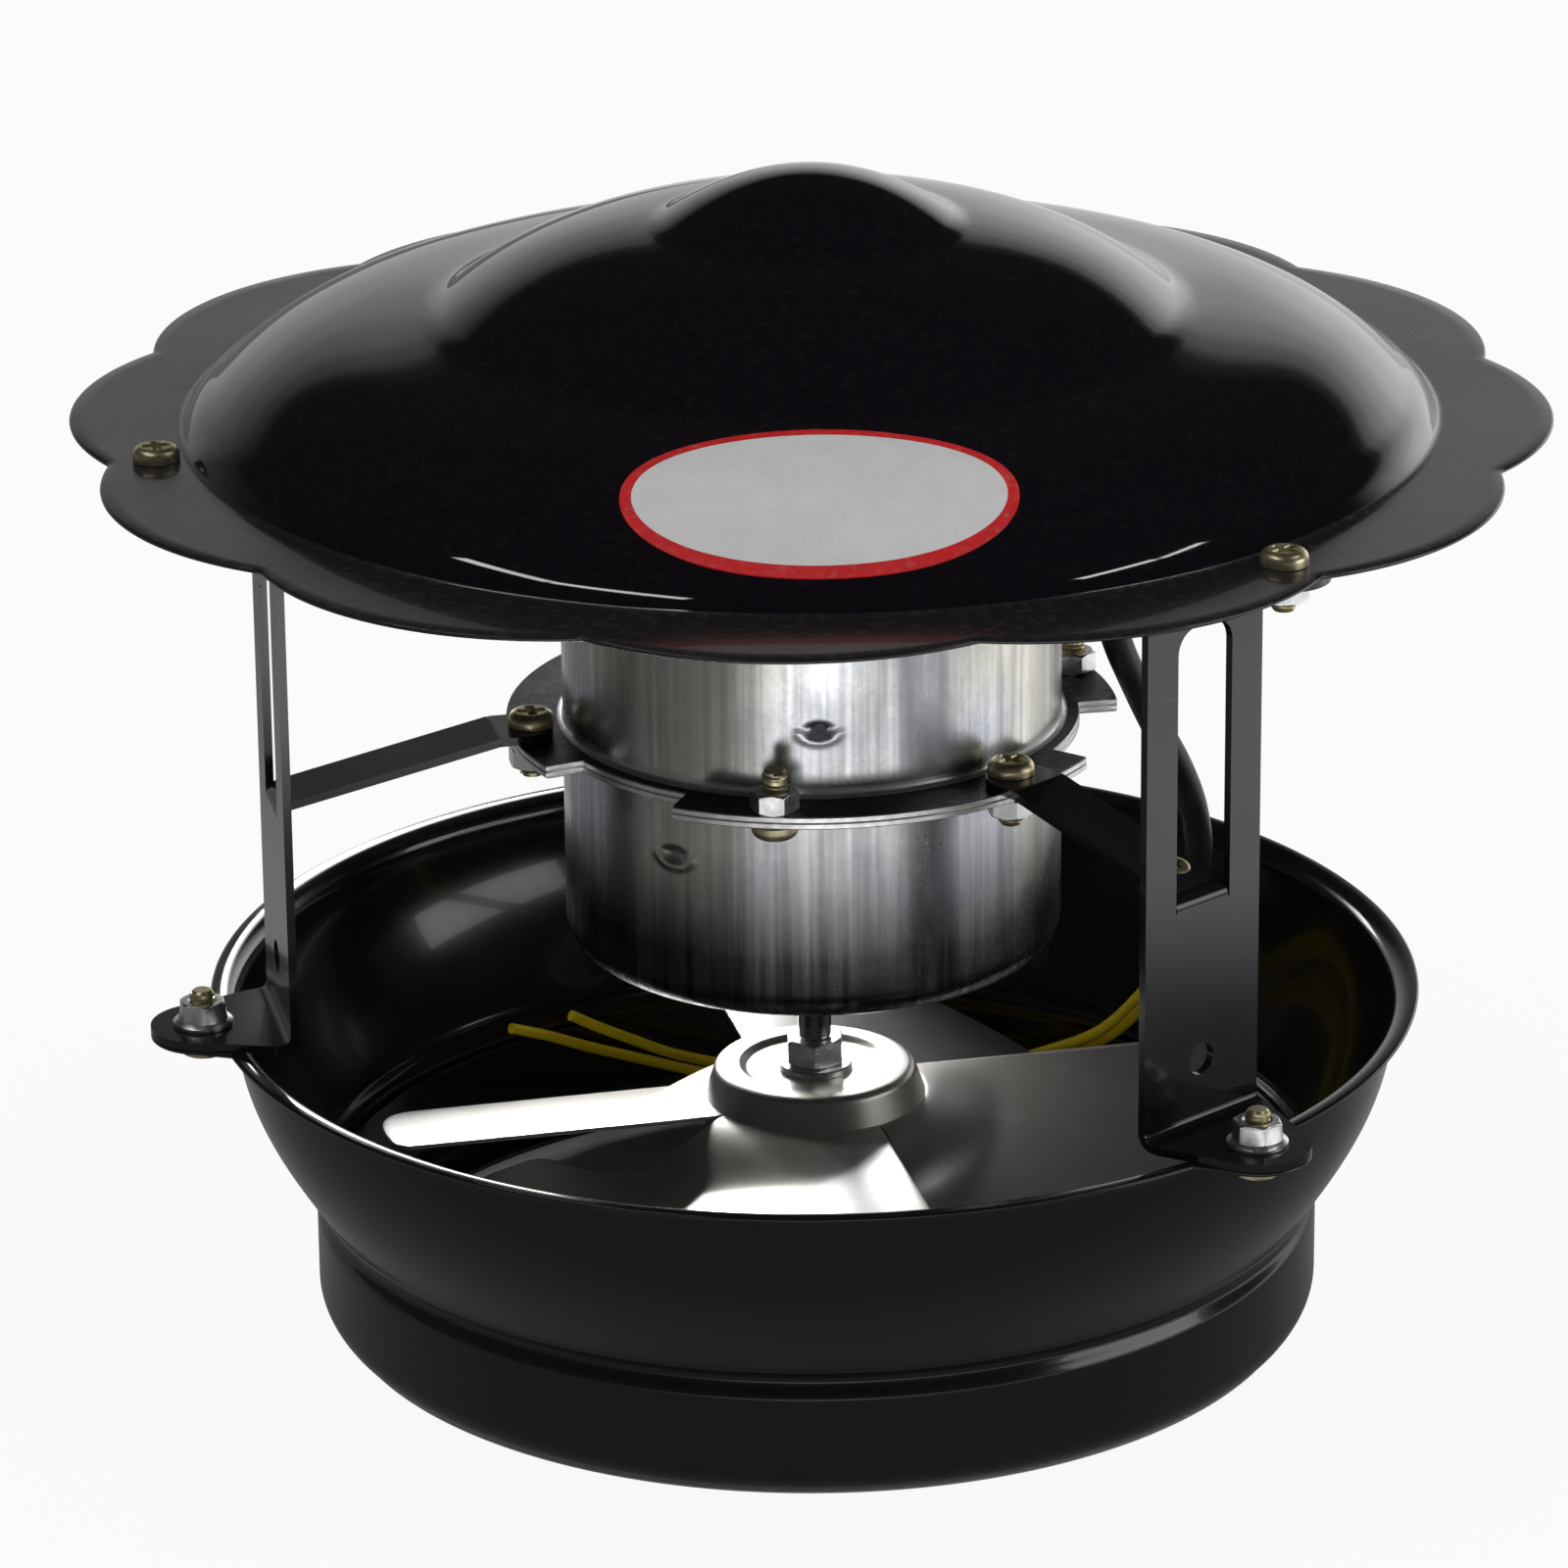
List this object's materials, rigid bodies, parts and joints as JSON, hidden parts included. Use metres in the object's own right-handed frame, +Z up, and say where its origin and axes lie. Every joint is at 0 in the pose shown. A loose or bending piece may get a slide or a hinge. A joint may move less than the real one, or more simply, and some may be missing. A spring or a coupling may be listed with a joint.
{
  "type": "vents, ducts and flue fittings",
  "caption": "Chimney draught fan: black pressed spigot basin, slotted legs, galvanised motor on arms, bright sheet fan and a scalloped domed rain cap",
  "frame": {"origin": "centre of the spigot's foot ring, on the fan's axis", "axes": "+Z is up along the fan's axis, -Y is the side with the rating label, +X is the viewer's right"},
  "size_m": [0.3478, 0.3478, 0.283],
  "materials": {
    "black_enamel": "gloss",
    "black_gloss": "gloss",
    "label_film": "gloss",
    "galvanised_sheet": "brushed",
    "core_steel": "matte",
    "winding_copper": "gloss",
    "ground_steel": "polished",
    "bearing_steel": "polished",
    "bright_sheet": "brushed",
    "white_zinc": "satin",
    "yellow_zinc": "satin",
    "black_rubber": "matte",
    "black_sleeving": "satin",
    "yellow_insulation": "satin"
  },
  "bodies": {
    "frame": {"basin": "black_enamel", "cap": "black_gloss", "rating_label": "label_film", "leg_left": "black_enamel", "leg_right": "black_enamel", "leg_rear": "black_enamel", "motor_shell_lower": "galvanised_sheet", "motor_shell_upper": "galvanised_sheet", "stator_core": "core_steel", "stator_windings": "winding_copper", "bearing_outer_lower": "bearing_steel", "bearing_outer_upper": "bearing_steel", "bearing_balls": "bearing_steel", "cap_screws": "yellow_zinc", "cap_nuts": "white_zinc", "foot_bolts": "yellow_zinc", "foot_flange_nuts": "white_zinc", "arm_screws": "yellow_zinc", "arm_nuts": "white_zinc", "shell_screws": "yellow_zinc", "shell_nuts": "white_zinc", "earth_screw": "yellow_zinc", "earth_nut": "white_zinc", "cable_grommet": "black_rubber", "cable_sleeve": "black_sleeving", "lead_outer": "yellow_insulation", "lead_inner": "yellow_insulation"},
    "rotor": {"shaft": "ground_steel", "rotor_core": "core_steel", "bearing_inner_lower": "bearing_steel", "bearing_inner_upper": "bearing_steel", "fan": "bright_sheet", "fan_washers": "white_zinc", "fan_nuts": "white_zinc"}
  },
  "joints": [
    {"name": "fan_spin", "type": "hinge", "parent": "frame", "child": "rotor", "pos_m": [0, 0, 0.0585], "axis": [0, 0, 1], "continuous": true}
  ]
}
